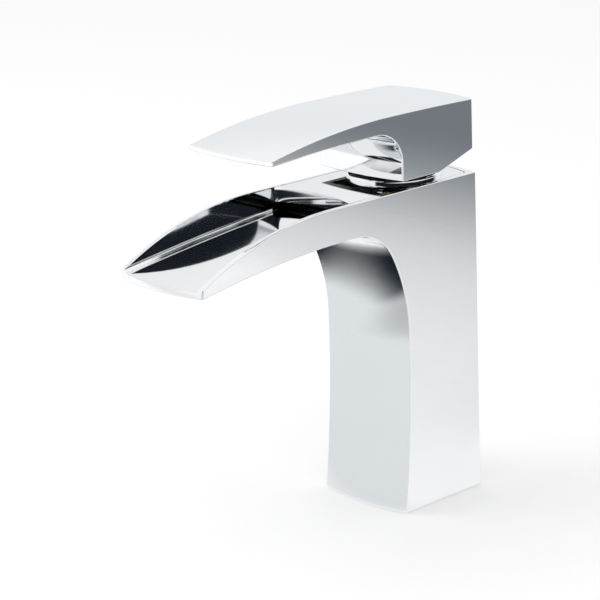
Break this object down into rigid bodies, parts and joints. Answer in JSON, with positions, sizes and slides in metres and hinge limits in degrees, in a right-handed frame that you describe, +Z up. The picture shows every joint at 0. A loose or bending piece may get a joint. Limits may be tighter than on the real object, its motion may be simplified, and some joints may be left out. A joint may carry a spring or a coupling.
{
  "type": "waterfall basin faucet",
  "caption": "Single-lever basin mixer with an open waterfall trough spout on a square column, an inset deck plate and a flat overhanging lever.",
  "frame": {"origin": "middle of the 35 mm deck hole, on the basin's upper surface, which is also the swivel's axis", "axes": "+Z up, the spout and the lever point along -Y, +X is the right-hand side seen by someone at the spout"},
  "size_m": [0.05, 0.1598, 0.1744],
  "materials": {
    "chrome": "polished",
    "brass": "machined",
    "steel": "machined",
    "housing_plastic": "moulded",
    "inner_plastic": "moulded",
    "limit_plastic": "moulded",
    "plug_plastic": "metallised",
    "ceramic": "lapped",
    "rubber": "moulded"
  },
  "bodies": {
    "column": {"faucet_body": "chrome", "base_seal": "rubber", "deck_plate": "chrome", "plate_gasket": "rubber", "cartridge_nut": "brass", "bonnet": "chrome", "cartridge_housing": "housing_plastic", "chamber_seal": "rubber", "cartridge_base": "housing_plastic", "hot_port_seal": "rubber", "cold_port_seal": "rubber", "disc_seal": "rubber", "fixed_disc": "ceramic", "limit_ring": "limit_plastic"},
    "swivel": {"rotor": "inner_plastic", "pivot_pin": "steel"},
    "lever": {"lever_stem": "brass", "handle": "chrome", "handle_screw": "steel", "screw_plug": "plug_plastic"},
    "disc": {"disc_carrier": "inner_plastic", "moving_disc": "ceramic"}
  },
  "joints": [
    {"name": "handle_swivel", "type": "hinge", "parent": "column", "child": "swivel", "pos_m": [0, 0, 0.139], "axis": [0, 0, 1], "range_deg": [-50, 50]},
    {"name": "handle_lift", "type": "hinge", "parent": "swivel", "child": "lever", "pos_m": [0, 0, 0.139], "axis": [-1, 0, 0], "range_deg": [0, 20]},
    {"name": "disc_slide", "type": "slide", "parent": "swivel", "child": "disc", "axis": [0, -1, 0], "range_m": [0, 0.0049]}
  ],
  "couplings": [
    {"joint": "disc_slide", "follows": "handle_lift", "m_per_rad": 0.0139}
  ]
}
